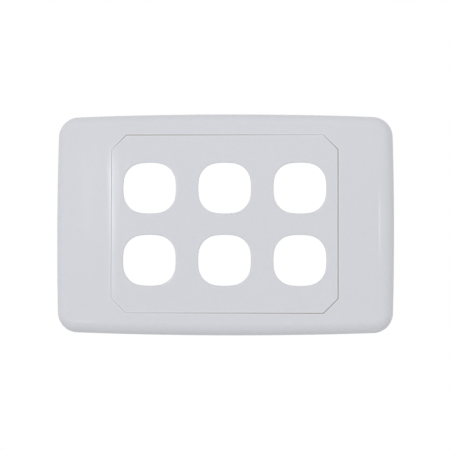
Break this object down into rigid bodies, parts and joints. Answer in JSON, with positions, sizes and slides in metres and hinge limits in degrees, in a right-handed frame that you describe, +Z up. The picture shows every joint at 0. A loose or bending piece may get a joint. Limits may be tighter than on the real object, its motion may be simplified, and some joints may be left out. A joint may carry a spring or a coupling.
{
  "type": "switch wall plate",
  "caption": "Wall plate for switch mechanisms: a flat chamfered centre panel with soft-cornered openings, inside a bowed cover frame that pulls off its fixing screws.",
  "frame": {"origin": "middle of the plate on its back plane, halfway between the two fixing slots", "axes": "+X along the plate's length, +Z up the wall, +Y into the wall, so the front faces -Y"},
  "size_m": [0.116, 0.0105, 0.076],
  "materials": {
    "grid_plate": "moulded, soft gloss",
    "surround": "moulded, soft gloss"
  },
  "bodies": {
    "grid": {"grid_plate": "grid_plate"},
    "cover": {"surround": "surround"}
  },
  "joints": [
    {"name": "surround_pull", "type": "slide", "parent": "grid", "child": "cover", "axis": [0, -1, 0], "range_m": [0, 0.015]}
  ]
}
